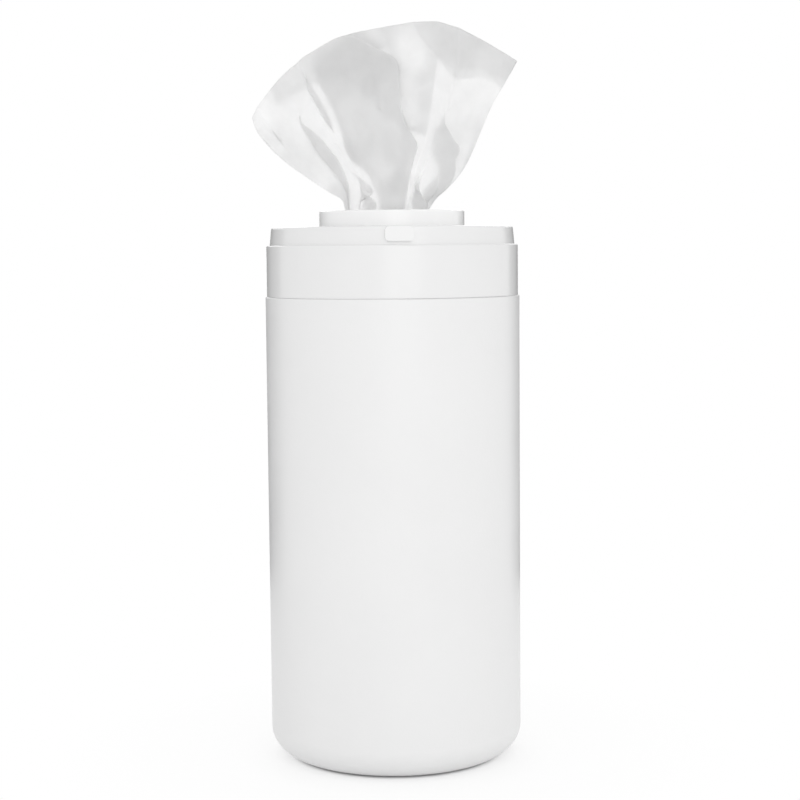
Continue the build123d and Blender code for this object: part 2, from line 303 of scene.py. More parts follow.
# none where the heel meets the floor, so that the shadow is dark there, and wholly white past the shadow
FLOOR_WHITENESS = ((0.0, 0.0), (0.0405, 0.0), (0.0435, 0.65), (0.05, 0.82), (0.065, 0.92), (0.14, 1.0))
FLAG_DISTANCE, FLAG_HEIGHT = 0.4, 0.26  # metres
FLAG_ANGLES = {"flag_left": (-11, -57), "flag_right": (11, 60)}  # degrees

floor = panel("studio_floor", along_floor(-FLOOR_HALF), along_floor(FLOOR_HALF), columns=1)
floor.data.materials.append(studio_material("floor", FLOOR_GREY, FLOOR_WHITENESS))
flag_cloth = studio_material("flag", FLAG_GREY)
for name, (start, end) in FLAG_ANGLES.items():
    flag = panel(name, around(FLAG_DISTANCE, start, end, 0.0), around(FLAG_DISTANCE, start, end, FLAG_HEIGHT))
    flag.data.materials.append(flag_cloth)
    flag.visible_camera = False


# %% Soft boxes
def soft_light(name, place, target, size, strength):
    """A rectangular soft box. Its strength is how much it adds to a surface that faces it, where 1 is the
    light of a plain white world of strength 1."""
    light = bpy.data.objects.new(name, bpy.data.lights.new(name, "AREA"))
    light.data.shape = "RECTANGLE"
    light.data.size, light.data.size_y = size
    aim = Vector(target) - Vector(place)
    light.data.energy = strength * pi ** 2 * aim.length_squared
    light.location = place
    light.rotation_euler = aim.to_track_quat("-Z", "Y").to_euler()
    bpy.context.scene.collection.objects.link(light)
    print(name, "gives", round(light.data.energy, 2), "watts")


soft_light("back_soft_box", place=(0.05, 0.95, 0.78), target=(0, 0, 0.25), size=(0.9, 0.45), strength=0.4)
soft_light("front_soft_box", place=(0.25, -2.4, 0.9), target=(0, 0, 0.15), size=(1.6, 1.6), strength=0.2)

# %% [markdown]
# ## Moulded plastic
#
# The canister is blow-moulded polyethylene: satin, with a very fine orange peel and a hint of vertical
# unevenness where the parison stretched. The closure and the lid are injection-moulded polypropylene, which
# is glossier. The collar is a thin wall that stands free, so some light goes through it, and its copy of the
# polypropylene is whiter than the rest of the closure, which is painted light. The seals are soft elastomer.
# A picture of plastic could be wrapped round each piece, but noise in the piece's own coordinates has no
# seam and doesn't slide when the lid moves. So each is a Principled shader whose shade, roughness and bump
# come from noise.

# %% Plastics
CLOUD_WAVES, DRAWN_WAVES = 22.0, 60.0  # a metre: broad clouds, and streaks along the height
SHADE_SWING = 0.006
ROUGHER_CLOUDS = (0.3, 0.95)  # clouds and orange peel together lie between these
SMOOTHER, ROUGHER = 0.04, 0.05  # how far the roughness goes down and up with them
STREAK_LENGTH = 0.06  # waves along the height, for each wave round the piece
GLOW_DEPTH = 0.0025  # metres that light travels inside a thin wall
PLASTIC_IOR, PLASTIC_SPECULAR = 1.5, 0.5  # together they set how much the plastic mirrors


def moulded(name, white, rough, peel, peel_waves, streaks=0.0, deep=0.0):
    """Moulded plastic: its whiteness, roughness, the depth of its orange peel in metres and its waves a
    metre, how strong its streaks are, and how much of its light goes through it."""
    material = bpy.data.materials.new(name)
    finish = Finish(material)
    clouds = finish.grain(CLOUD_WAVES, 3.0)
    fine = finish.grain(peel_waves)
    drawn = finish.grain(DRAWN_WAVES, stretch=(1, 1, STREAK_LENGTH))
    finish.output(finish.node("ShaderNodeBsdfPrincipled", {}, {
        "Base Color": finish.grey(finish.vary(clouds, white, SHADE_SWING)),
        "Roughness": finish.span(clouds + 0.25 * fine, *ROUGHER_CLOUDS, rough - SMOOTHER, rough + ROUGHER),
        "IOR": PLASTIC_IOR, "Specular IOR Level": PLASTIC_SPECULAR,
        "Subsurface Weight": deep, "Subsurface Radius": (1, 1, 1), "Subsurface Scale": GLOW_DEPTH,
        "Normal": finish.bump(fine + streaks * drawn, peel)}))
    return material


satin = moulded("satin_polyethylene", white=0.862, rough=0.34, peel=0.00003, peel_waves=900.0, streaks=1.6)
gloss = moulded("gloss_polypropylene", white=0.85, rough=0.2, peel=0.000012, peel_waves=500.0, streaks=0.5)
# the collar's copy: some light really goes through its thin wall, and its higher whiteness is painted light
thin_gloss_painted_light = moulded("gloss_polypropylene_thin_painted_light", white=0.945, rough=0.2, peel=0.000012, peel_waves=500.0,
                     streaks=0.5, deep=0.8)
seal = moulded("soft_seal", white=0.74, rough=0.6, peel=0.00003, peel_waves=1500.0)
throat = moulded("throat_elastomer", white=0.72, rough=0.5, peel=0.00003, peel_waves=1500.0)
print("plastics are ready")


# %% Dress the moulded pieces
def dress(node, material, thin=None, thin_above=1.0):
    """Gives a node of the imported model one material, and another to its faces above a height in metres."""
    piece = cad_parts[node]
    piece.data.materials.clear()
    for part in (material, thin) if thin else (material,):
        piece.data.materials.append(part)
    for face in piece.data.polygons:
        face.material_index = int((piece.matrix_world @ face.center).z > thin_above)


COLLAR_FOOT = 0.2138  # metres: the collar stands above this
for node, material in (("canister", satin), ("flip_lid", gloss), ("lid_gasket", seal), ("neck_gasket", seal),
                       ("throat_insert", throat)):
    dress(node, material)
# the closure's faces above the collar's foot get the whiter copy, whose extra whiteness is painted light
dress("closure", gloss, thin_gloss_painted_light, COLLAR_FOOT)
print("moulded pieces are dressed")

# %% [markdown]
# ## Wipe material
#
# A wipe is a damp nonwoven: a mat of white fibres, 0.35 mm thick, that scatters light and lets much of it
# through. Where one layer stands against the light it glows, and where folds lie over each other it goes
# grey. Painting those greys on would look wrong from any other side. So the shader mixes what the cloth
# reflects with what comes through it (Translucent), and the folds do most of the rest. Fine fibres are bump
# only, since they are under 0.1 mm high. Some soft spots of the fan are painted a little lighter or darker:
# painted light and painted shade on top of the greys that the folds give.

# %% Nonwoven
MOTTLE_WAVES, FIBRE_WAVES = 160.0, 1400.0  # a metre
MOTTLE_SWING = 0.012
CLOTH_ROUGHNESS = (0.72, 0.85)
GLOW_SWING = 0.03
FIBRE_DEPTH = 0.00006  # metres
SPOT_FADE = (0.3, 1.0)  # a spot is whole up to the first of these shares of its size, and gone at the second


def nonwoven(name, white, glow, painted_light_shade_spots=()):
    """Nonwoven cloth: its whiteness, the share of light that comes through, and spots of painted light and
    shade, as (x, z, half width, half height, amount) with the sizes in millimetres."""
    material = bpy.data.materials.new(name)
    finish = Finish(material)
    mottle = finish.grain(MOTTLE_WAVES, 4.0, 0.6)
    fibre = finish.grain(FIBRE_WAVES, 4.0, 0.7, stretch=(1, 1, 0.35))
    shade = finish.vary(mottle, white, MOTTLE_SWING)
    for x, z, wide, high, amount in painted_light_shade_spots:
        away = finish.node("ShaderNodeVectorMath", {"operation": "DISTANCE"}, {
            0: finish.place(1 / MM, (1 / wide, 0, 1 / high)), 1: (x / wide, 0, z / high)}, out=1)
        # painted shade where the spot's amount is above 0, painted light where it is below 0
        shade = shade - amount * finish.span(away, *SPOT_FADE, 1.0, 0.0)
    tone = finish.grey(shade)
    normal = finish.bump(fibre + 0.8 * mottle, FIBRE_DEPTH, 0.6)
    cloth = finish.node("ShaderNodeBsdfPrincipled", {}, {
        "Base Color": tone, "Roughness": finish.span(mottle, *LIKELY_NOISE, *CLOTH_ROUGHNESS),
        "Specular IOR Level": 0.12, "Sheen Weight": 0.03, "Normal": normal})
    through = finish.node("ShaderNodeBsdfTranslucent", {}, {"Color": tone, "Normal": normal})
    glowing = finish.vary(mottle, glow, GLOW_SWING)
    finish.output(finish.node("ShaderNodeMixShader", {}, {0: glowing, 1: cloth, 2: through}))
    return material


# %% Two cloths: the fan's, with spots of painted light and shade, and one for the rest
WIPE_WHITE, WIPE_GLOW = 0.936, 0.585
# spots of painted light and shade: (x, z, half width, half height) in millimetres, and how much whiteness
# the spot takes away as painted shade, or adds as painted light where the amount is below 0
PAINTED_LIGHT_SHADE_SPOTS = (
    (-2.0, 226.0, 26.0, 24.0, -0.046), (-3.0, 244.0, 15.0, 22.0, -0.012), (-1.2, 242.0, 4.0, 6.0, 0.018),
    (2.7, 236.0, 4.0, 6.5, 0.022), (-14.0, 270.0, 4.0, 6.0, -0.012), (-8.5, 261.0, 4.0, 6.0, -0.012),
    (31.0, 245.0, 12.0, 17.0, 0.022), (8.5, 285.0, 10.0, 14.0, -0.036), (-14.0, 257.0, 14.0, 16.0, -0.02),
    (-37.0, 238.0, 12.0, 14.0, 0.04), (-21.0, 226.0, 8.0, 8.0, 0.055), (2.5, 231.0, 9.0, 7.0, 0.03),
    (39.0, 278.0, 10.0, 9.0, -0.03), (26.0, 260.0, 14.0, 16.0, 0.02), (-45.0, 248.0, 12.0, 11.0, 0.025),
    (3.0, 262.0, 11.0, 17.0, -0.022))
wipe_cloth = nonwoven("nonwoven", WIPE_WHITE, WIPE_GLOW)
fan_cloth = nonwoven("nonwoven_fan_painted_light_shade", WIPE_WHITE, WIPE_GLOW, PAINTED_LIGHT_SHADE_SPOTS)
print("nonwoven is ready, the fan's with", len(PAINTED_LIGHT_SHADE_SPOTS), "spots")

# %% [markdown]
# ## The wipe: its fold lines
#
# The wipe is a 7 by 8 inch sheet. The throat crushes it into tight pleats, and above the collar the pleats
# open into a fan with a few big folds. A cloth simulation could crumple a sheet, but not into these very
# folds. A fan of cloth is easier to describe by the lines along which it folds: each line runs from the
# throat to the torn top edge, and the cloth is stretched from line to line. Where a line lies behind its
# neighbour the cloth doubles back, which makes a tuck of three layers.
#
# Each line has a name, how softly the cloth turns over it in millimetres, and points from the collar up, as
# (across, up, depth) in millimetres. Across and up are where the photograph shows the line, and depth is
# how far it lies behind the canister's axis.

# %% Fold lines, from left to right
FOLD_LINES = (
    ("left edge", 0.4, (
        (-18.5, 220.6, 2), (-19.5, 224.2, 2.6), (-24.7, 227.6, 4), (-34.6, 234.3, 6), (-43.3, 240.7, 8),
        (-50.4, 247.9, 9), (-53.8, 252.7, 9.5), (-55.5, 257.5, 9))),
    ("small tuck, front", 0.4, (
        (-18.3, 220.6, 1.6), (-19.1, 224.2, 2.2), (-23.5, 228.0, 3.5), (-33.0, 234.6, 5.2),
        (-39.7, 240.9, 6.6), (-42.5, 245.9, 7.4), (-43.8, 249.2, 6.8), (-46.6, 251.8, 7.2),
        (-49.7, 255.0, 7.8), (-53.2, 261.8, 8))),
    ("small tuck, back", 0.4, (
        (-18.0, 220.6, 1.2), (-18.7, 224.4, 1.8), (-22.7, 228.6, 3), (-31.4, 235.0, 4.6), (-38.3, 241.5, 6),
        (-42.5, 245.7, 7.2), (-45.6, 248.5, 7.5), (-47.2, 251.1, 7.6), (-48.5, 255.2, 7.4),
        (-52.2, 263.2, 7.2))),
    ("left ridge", 2, (
        (-17.9, 220.6, -0.2), (-18.1, 225.0, 0.4), (-20.2, 229.4, 1), (-27.0, 236.2, 1.8),
        (-33.9, 243.0, 2.6), (-37.6, 250.2, 3.2), (-40.7, 257.3, 3.6), (-44.2, 264.5, 4.4),
        (-47.7, 269.1, 5.2))),
    ("wide tuck, front", 0.35, (
        (-16.7, 220.6, -2.2), (-16.8, 225.3, -2.4), (-16.8, 229.3, -2.6), (-18.4, 235.7, -2.6),
        (-20.7, 240.5, -2.5), (-24.3, 245.3, -2.1), (-27.2, 249.1, -1.6), (-31.6, 252.7, -0.8),
        (-34.7, 254.9, 0.2), (-37.1, 259.3, 1.4), (-40.6, 266.4, 2.7), (-44.1, 273.2, 3.9))),
    ("wide tuck, back", 0.4, (
        (-17.5, 220.6, -1), (-18.1, 225.4, -1.2), (-20.0, 229.4, -1.4), (-24.2, 234.8, -1.4),
        (-28.1, 239.4, -1.2), (-32.1, 244.6, -0.8), (-34.0, 248.6, -0.3), (-36.2, 252.7, 0.4),
        (-36.9, 255.9, 1), (-36.1, 260.1, 1.2), (-39.4, 266.8, 2.4), (-42.9, 274.3, 3.6))),
    ("light panel", 3, (
        (-15.7, 220.5, -2.2), (-15.9, 225.3, -2.2), (-16.2, 229.7, -2.1), (-18.2, 235.3, -1.9),
        (-21.1, 241.3, -1.3), (-25.6, 249.3, -0.5), (-30.3, 258.0, 0.5), (-33.4, 266.4, 1.1),
        (-36.5, 273.1, 1.8), (-40.0, 277.1, 2.8))),
    ("arch tuck, front", 0.4, (
        (-12.7, 220.5, -2.6), (-12.3, 224.1, -2.7), (-7.9, 226.5, -3.1), (-6.4, 228.2, -3.2),
        (-9.4, 231.3, -3.1), (-13.4, 233.5, -2.8), (-17.9, 238.1, -2.2), (-20.9, 243.7, -1.5),
        (-25.4, 251.7, -0.6), (-29.5, 259.6, 0.2), (-32.2, 267.1, 0.8), (-35.3, 273.9, 1.5),
        (-37.8, 278.4, 2.3))),
    ("arch tuck, back", 0.4, (
        (-13.1, 220.5, -2.4), (-13.1, 224.1, -2.4), (-12.3, 226.5, -2.5), (-11.8, 228.5, -2.6),
        (-12.4, 230.9, -2.6), (-13.6, 233.1, -2.6), (-17.1, 238.1, -2.1), (-20.1, 243.7, -1.4),
        (-24.6, 251.6, -0.5), (-28.7, 259.6, 0.3), (-31.4, 267.1, 0.8), (-34.5, 273.9, 1.5),
        (-37.0, 279.2, 2.3))),
    ("thin tuck, front", 0.35, (
        (-5.9, 220.5, -3), (-6.3, 224.1, -3.1), (-8.9, 226.1, -3), (-12.2, 228.9, -2.8), (-13.0, 232.5, -2.5),
        (-15.9, 237.7, -2.1), (-18.7, 242.9, -1.7), (-21.0, 247.7, -1.4), (-22.6, 251.2, -1.2),
        (-23.0, 253.6, -1.2), (-23.9, 257.2, -1.3), (-25.5, 260.8, -1.2), (-27.6, 264.7, -0.9),
        (-30.4, 269.1, -0.3), (-33.5, 273.5, 0.6), (-34.3, 276.6, 1.2), (-35.4, 280.8, 2))),
    ("thin tuck, back", 0.4, (
        (-11.5, 220.5, -2), (-11.7, 224.5, -2), (-12.3, 226.9, -2.1), (-11.8, 229.1, -2.2),
        (-11.8, 232.5, -2.4), (-14.7, 237.7, -2.1), (-17.5, 242.9, -1.7), (-20.0, 247.6, -1.4),
        (-22.6, 251.0, -1), (-25.6, 253.8, -0.6), (-27.7, 256.8, -0.5), (-29.9, 260.8, -0.4),
        (-32.0, 264.8, -0.1), (-33.8, 268.7, 0.3), (-33.5, 273.3, 0.8), (-33.1, 277.0, 1.2),
        (-34.2, 281.6, 1.9))),
    ("front layer", 4, (
        (-4.3, 220.4, -2.6), (-5.7, 226.0, -3.2), (-8.6, 232.4, -3.9), (-12.1, 240.4, -4.2),
        (-14.6, 248.4, -4.1), (-16.5, 258.3, -3.8), (-18.0, 268.2, -3.2), (-19.7, 278.1, -2.4),
        (-21.8, 285.6, -1.6), (-23.6, 287.8, -1.2))),
    ("front slope", 4, (
        (0.9, 220.4, -4.2), (0.6, 226.0, -5.1), (-0.2, 232.4, -5.8), (-1.3, 240.3, -6.2), (-2.0, 248.3, -6.3),
        (-3.9, 258.2, -6.1), (-5.4, 268.1, -5.7), (-7.7, 278.0, -5.2), (-13.2, 285.5, -4),
        (-19.4, 289.5, -2.6))),
    ("front fold", 1.4, (
        (5.3, 220.4, -4.8), (6.8, 225.9, -5.8), (8.2, 232.3, -6.7), (10.7, 240.2, -7.4), (13.0, 247.4, -7.9),
        (10.8, 251.3, -8), (8.0, 255.9, -8), (6.1, 262.1, -8), (5.9, 268.0, -8), (5.4, 275.9, -7.9),
        (4.7, 280.8, -7.7), (0.7, 283.4, -7.2), (-4.5, 285.6, -6.2), (-10.0, 288.0, -5),
        (-15.6, 290.0, -3.9))),
    ("middle layer", 4, (
        (1.3, 220.4, -3.2), (0.6, 226.0, -4.1), (-0.6, 232.4, -4.8), (-2.5, 240.3, -5.2), (-4.0, 248.3, -5.1),
        (-6.7, 258.2, -4.7), (-9.0, 268.1, -4.1), (-11.7, 277.6, -3), (-16.4, 284.4, -1.4),
        (-21.6, 288.5, -0.2))),
    ("left crease", 0.4, (
        (-4.5, 220.4, -1.8), (-5.7, 225.6, -2.4), (-8.2, 231.6, -3), (-12.0, 236.8, -3.1),
        (-16.3, 239.3, -2.1), (-18.9, 242.1, -1.3), (-20.0, 246.5, -1.1), (-21.4, 252.4, -0.9),
        (-23.3, 257.6, -0.7), (-26.4, 264.3, -0.3), (-29.4, 269.5, 0.3), (-31.3, 273.8, 1.2),
        (-32.0, 278.2, 3.2), (-30.8, 281.7, 5.2), (-28.4, 285.0, 7.2))),
    ("rear layer", 4, (
        (0.5, 220.4, -2.2), (0.2, 226.0, -2.9), (-0.6, 232.4, -3.8), (-2.5, 240.3, -4.2), (-4.4, 248.3, -4.3),
        (-7.1, 258.2, -3.9), (-9.8, 268.1, -3.2), (-12.9, 277.6, -1.6), (-15.6, 284.7, 0.6),
        (-17.6, 290.1, 2.4))),
    ("stripe", 3, (
        (3.3, 220.4, -3.2), (3.4, 226.0, -4.2), (3.8, 232.3, -5.1), (4.5, 240.3, -5.6), (5.2, 248.2, -6),
        (4.9, 258.1, -6.1), (3.7, 268.0, -5.9), (1.8, 277.5, -5.4), (-0.5, 285.4, -4.9),
        (-2.4, 292.9, -4.7))),
    ("right crease", 0.4, (
        (5.7, 220.4, -4.3), (7.2, 225.9, -5.3), (8.6, 232.3, -6.2), (11.1, 240.2, -7), (13.8, 249.3, -7.5),
        (15.6, 258.0, -7.8), (16.7, 265.9, -8), (17.8, 273.8, -8), (18.4, 281.3, -7.8), (14.3, 285.9, -7.6),
        (11.5, 289.6, -7.4), (9.2, 294.7, -7.1))),
    ("hollow", 2.5, (
        (7.1, 220.3, -2.2), (8.4, 225.9, -3), (11.0, 233.1, -3.9), (14.1, 241.0, -4.7), (16.6, 248.1, -5.2),
        (18.8, 258.0, -5.6), (20.5, 267.1, -5.8), (21.8, 275.7, -6), (21.0, 285.6, -6.2),
        (17.5, 294.9, -6.2))),
    ("lobe tuck, front", 0.4, (
        (14.6, 220.3, -3.4), (13.8, 223.5, -3.9), (11.2, 226.7, -4.4), (9.2, 228.3, -4.6),
        (12.1, 233.9, -4.9), (14.9, 241.0, -5.2), (17.4, 248.1, -5.3), (19.4, 258.0, -5.6),
        (21.1, 267.1, -5.8), (22.3, 275.7, -5.9), (21.8, 285.6, -6.1), (18.9, 294.7, -6.1))),
    ("lobe tuck, back", 0.4, (
        (8.3, 220.3, -1.8), (7.6, 223.1, -2.2), (7.2, 225.9, -2.8), (9.0, 228.7, -3.8), (12.7, 233.8, -4.7),
        (15.7, 241.0, -5), (18.2, 248.1, -5.2), (20.2, 258.0, -5.4), (21.9, 267.1, -5.6), (23.1, 275.7, -5.7),
        (22.6, 285.6, -5.9), (20.1, 294.4, -5.9))),
    ("low tuck, front", 0.4, (
        (14.2, 220.3, -1.6), (14.8, 223.1, -2.4), (16.6, 225.2, -3.4), (18.8, 228.0, -4), (19.0, 231.0, -4.3),
        (18.7, 234.2, -4.5), (19.3, 240.2, -4.7), (20.0, 248.1, -4.9), (20.8, 258.0, -5.2),
        (22.9, 267.1, -5.4), (24.5, 275.7, -5.5), (24.2, 285.6, -5.6), (22.3, 293.8, -5.6))),
    ("low tuck, back", 0.4, (
        (13.7, 220.3, -1.2), (13.2, 223.1, -1.8), (12.4, 225.5, -2.2), (12.6, 228.3, -2.8),
        (14.8, 231.4, -3.5), (18.9, 234.6, -4.2), (19.9, 240.1, -4.5), (20.6, 248.1, -4.7), (21.6, 258.0, -5),
        (23.7, 267.0, -5.2), (25.3, 275.7, -5.3), (25.0, 285.6, -5.4), (23.3, 293.4, -5.4))),
    ("right tuck, front", 0.35, (
        (14.6, 220.3, -0.8), (18.2, 225.0, -2.2), (23.8, 230.4, -3.2), (26.3, 235.3, -3.7),
        (26.7, 240.1, -3.8), (28.3, 244.2, -3.6), (26.0, 247.6, -3.8), (23.6, 251.4, -4), (21.4, 253.8, -4.2),
        (20.0, 255.4, -4.4), (22.0, 259.2, -4.6), (24.5, 267.0, -4.7), (26.3, 275.7, -4.7),
        (26.8, 285.5, -4.7), (26.4, 292.6, -4.5))),
    ("right tuck, back", 0.4, (
        (14.0, 220.3, 0), (15.2, 225.1, -1), (18.4, 229.8, -2.2), (18.3, 237.0, -2.8), (15.7, 244.2, -3),
        (15.0, 249.3, -3.2), (16.0, 252.7, -3.6), (19.0, 255.0, -4.2), (23.0, 259.1, -4.4),
        (25.5, 267.0, -4.5), (27.3, 275.7, -4.5), (28.0, 285.5, -4.5), (27.6, 292.2, -4.3))),
    ("right panel", 3, (
        (14.4, 220.3, 1), (17.0, 224.2, 0.8), (22.2, 228.6, 0.8), (27.5, 236.1, 0.6), (30.7, 244.0, 0.4),
        (33.2, 253.9, 0.1), (35.2, 263.8, -0.3), (37.3, 273.6, -0.5), (38.5, 281.5, -1),
        (38.9, 286.2, -1.3))),
    ("right edge", 0.4, (
        (14.6, 220.3, 2), (13.6, 222.7, 2.5), (18.2, 225.6, 3.5), (26.1, 232.9, 5), (29.5, 237.7, 5.5),
        (31.9, 242.4, 6), (36.0, 251.9, 6), (40.2, 261.4, 5.5), (45.7, 270.8, 5), (48.5, 275.5, 4.5),
        (50.5, 279.0, 4))),
)
print("fold lines:", len(FOLD_LINES))

# %% [markdown]
# ## The wipe: from what is seen to where it is
#
# A point that stands in front of the canister's axis looks larger and lies off to the side of where it is
# seen. The depths could be guessed by eye in Blender's viewport, but then the outline would drift. So each
# seen point is moved along the camera's line of sight to its depth, and then turned with the dispenser.


# %% Along the line of sight
def sighted(seen_across, seen_up, depth):
    """The point at a depth that the camera sees where it would see (across, up) at no depth. Millimetres."""
    eye = CAMERA_IN_VIEW
    share = (depth - eye.y) / (0 - eye.y)
    point = Vector((eye.x + share * (seen_across - eye.x), depth, eye.z + share * (seen_up - eye.z)))
    return turn_back @ point


print("a point 8 mm in front, seen at (50, 280), is at", tuple(round(v, 1) for v in sighted(50, 280, -8)))

# %% [markdown]
# ## The wipe: gathered in the throat
#
# In the throat the wipe is a rope as thick as a pencil and a half. Its folds could be packed at random, but
# then the fan's layers would cross on their way up. So the fold lines start on the rope's outline in the same
# order as in the fan, one at its front and the next at its back, and each rises from there as a smooth line.


# %% Where each fold line starts, and how it rises
ROPE_WIDE, ROPE_DEEP = 0.95, 0.94  # the pleats stay within this share of the rope's radius


def gathered(place, count, radius, twist=0.0):
    """Fold line `place` of `count` in the gathered rope, as (x, y) in millimetres."""
    sideways = -1 + 2 * place / (count - 1)
    x = sideways * radius * ROPE_WIDE
    y = (-1) ** place * (radius ** 2 - x ** 2) ** 0.5 * ROPE_DEEP
    return (x * cos(twist) - y * sin(twist), x * sin(twist) + y * cos(twist))


def smooth_line(points, shares):
    """Points of a smooth line through the given ones, at shares of its length from 0 to 1: between two
    points it is a cubic, which leaves each of them in the direction of the points about it."""
    points = np.array(points, float)
    steps = np.linalg.norm(np.diff(points, axis=0), axis=1)
    place = np.concatenate([[0], np.cumsum(steps)]) / steps.sum()
    slopes = np.gradient(points, place, axis=0)
    index = np.clip(np.searchsorted(place, shares, side="right") - 1, 0, len(place) - 2)
    width = (place[index + 1] - place[index])[:, None]
    t = ((shares - place[index])[:, None]) / width
    start, end = points[index], points[index + 1]
    lead, tail = slopes[index] * width, slopes[index + 1] * width
    return ((2 * t**3 - 3 * t**2 + 1) * start + (t**3 - 2 * t**2 + t) * lead
            + (-2 * t**3 + 3 * t**2) * end + (t**3 - t**2) * tail)


# %% The lines of the fan
FAN_ROWS = 150
shares = np.linspace(0, 1, FAN_ROWS + 1)
count = len(FOLD_LINES)
lines = []
for number, (_, _, points) in enumerate(FOLD_LINES):
    start = Vector((*gathered(number, count, ROPE_RADIUS / MM), THROAT_Z / MM))
    lines.append(smooth_line([start] + [sighted(*point) for point in points], shares))
lines = np.array(lines)  # line, row, xyz
print("fold lines:", count, "each with", FAN_ROWS + 1, "rows")

# %% [markdown]
# ## The wipe: its cloth
#
# Between two fold lines the cloth is straight at first. A Bevel modifier could round the folds, but by one
# width all over. Instead every row of points is relaxed a little, so the cloth turns over each line with a
# radius: small at a sharp crease, large at a soft one, and sharper everywhere near the throat.

# %% Cloth between the lines
COLUMN_STEP = 0.6  # millimetres between the mesh's columns where the fan is widest
FEWEST_COLUMNS = 4  # between two lines
widths = np.linalg.norm(np.diff(lines, axis=0), axis=2).max(axis=1)
cells = np.maximum(FEWEST_COLUMNS, np.ceil(widths / COLUMN_STEP)).astype(int)
fan, softness_at, line_column = [], [], []
for number in range(count - 1):
    line_column.append(len(fan))
    for cell in range(cells[number]):
        share = cell / cells[number]
        fan.append(lines[number] * (1 - share) + lines[number + 1] * share)
        softness_at.append(FOLD_LINES[number][1] * (1 - share) + FOLD_LINES[number + 1][1] * share)
line_column.append(len(fan))
fan.append(lines[-1])
softness_at.append(FOLD_LINES[-1][1])
fan = np.array(fan)  # column, row, xyz
softness_at = np.array(softness_at)
print("columns:", len(fan), "widest gap between lines:", round(widths.max(), 1), "mm")

# %% Round the folds
ROUNDS = 60
STRENGTH = 0.9  # the share of its way that a point goes in a round
THROAT_SOFTNESS = 0.08  # folds are sharper where the throat holds them
FREE_FROM = 0.4  # of the lines' length: from here up the folds are as soft as given
SHORTEST_STEP = 0.05  # millimetres
tight = THROAT_SOFTNESS + (1 - THROAT_SOFTNESS) * np.clip(shares / FREE_FROM, 0, 1) ** 1.5
for _ in range(ROUNDS):
    middle = (fan[2:] + fan[:-2]) / 2 - fan[1:-1]
    step = np.linalg.norm(fan[2:] - fan[:-2], axis=2) / 2
    turn = softness_at[1:-1, None] * tight
    wanted = np.minimum(1, (turn / np.maximum(step, SHORTEST_STEP)) ** 2 / ROUNDS)
    fan[1:-1] += STRENGTH * wanted[:, :, None] * middle
print("folds are rounded in", ROUNDS, "rounds")

# %% [markdown]
# ## The wipe: crumples
#
# Thin cloth also crumples. A Displace modifier would push each layer its own way, and they would cut through
# each other. Here the same gentle dents are pushed into every layer at once, as a depth that depends only on
# where a point is seen.

# %% Dents and crumples
CRUMPLES = ((26.0, 1.1, 1.7), (11.0, 0.5, 7.3), (5.0, 0.16, 3.1))  # size and depth in millimetres, and seed
FAN_APEX = 8  # millimetres under the throat, where the fan's creases would meet
CALM_REACH, CRUMPLED_REACH = 14, 44  # millimetres from the throat: no dents up to here, whole from there
HALFWAY_UP = 60  # millimetres from the throat, where dents are as wide as their size says
DENT_STRETCH = 0.55  # dents are longer along the folds than across them


def crumple(x, z):
    """How far the cloth is pushed back at a place, in millimetres."""
    rise = z - THROAT_Z / MM
    reach = (x * x + rise * rise) ** 0.5
    angle = np.arctan2(x, rise + FAN_APEX)
    value = 0.0
    for size, depth, seed in CRUMPLES:
        spot = Vector((angle * HALFWAY_UP / size, reach / size * DENT_STRETCH, seed))
        value += depth * (abs(noise.noise(spot)) * 2 - 0.5)
    return value * min(1.0, max(0.0, (reach - CALM_REACH) / (CRUMPLED_REACH - CALM_REACH)))


for column in fan:
    for point in column:
        point[1] += crumple(point[0], point[2])
print("crumpled")

# %% [markdown]
# ## The wipe: its rope, and its tail
#
# The 203 mm sheet is shown as two pieces. The fan is 92 mm from the throat up. The tail is the 111 mm that
# hang in the canister, as a rope that twists on its way down. One piece could be both.


# %% Helpers for grids of points
def grid(points, first=0):
    """Faces between the neighbours of a grid of points, as numbers that start at first."""
    columns, rows = points.shape[:2]
    corners = [first + column * rows + row for column in range(columns - 1) for row in range(rows - 1)]
    return [(a, a + rows, a + rows + 1, a + 1) for a in corners]


def listed(points):
    """The points of a grid, column by column."""
    return [tuple(point) for column in points for point in column]


# %% Rope
ROPE_ROWS = 60
TAIL_ROWS = 57  # of the rope's rows, those under the throat
ROPE_TWIST = -1.6  # radians, from the throat to the perforation
TWIST_BEND = 1.2  # above 1, the twist is slower near the throat
ROPE_SHARE, ROPE_WAIST = 0.97, 0.10  # of its width in the throat, and what it loses halfway
rope_bottom = WIPE_LOW[2] / MM
rope = np.empty((len(fan), ROPE_ROWS, 3))
for row in range(ROPE_ROWS):
    share = row / ROPE_ROWS
    twist = ROPE_TWIST * (1 - share) ** TWIST_BEND
    x, y = (fan[:, 0, :2] * (ROPE_SHARE - ROPE_WAIST * sin(pi * share) ** 2)).T
    rope[:, row, 0] = x * cos(twist) - y * sin(twist)
    rope[:, row, 1] = x * sin(twist) + y * cos(twist)
    rope[:, row, 2] = rope_bottom + (THROAT_Z / MM - rope_bottom) * share
tail_points = rope[:, :TAIL_ROWS + 1]
front_points = np.concatenate([rope[:, TAIL_ROWS:], fan], axis=1)
verts, quads = listed(front_points), grid(front_points)
print("rope from", round(rope_bottom, 1), "to", THROAT_Z / MM, "mm")

# %% [markdown]
# ## The wipe: turned hems
#
# Along most of the fan the torn edge is turned down behind the cloth, at the right in two layers. Those hems
# show as darker panels, because more layers let less light through. They could be more rows of the fan
# itself, but then the turned edge would show as a dark line. So a hem is its own strip of cloth, which starts
# behind the top row of the fan and runs back down to a free edge. Where it stands off, its shade is soft.

# %% Hems
HEM_ROWS = 26
HEM_TOP = 0.9995  # share of the fold lines' length
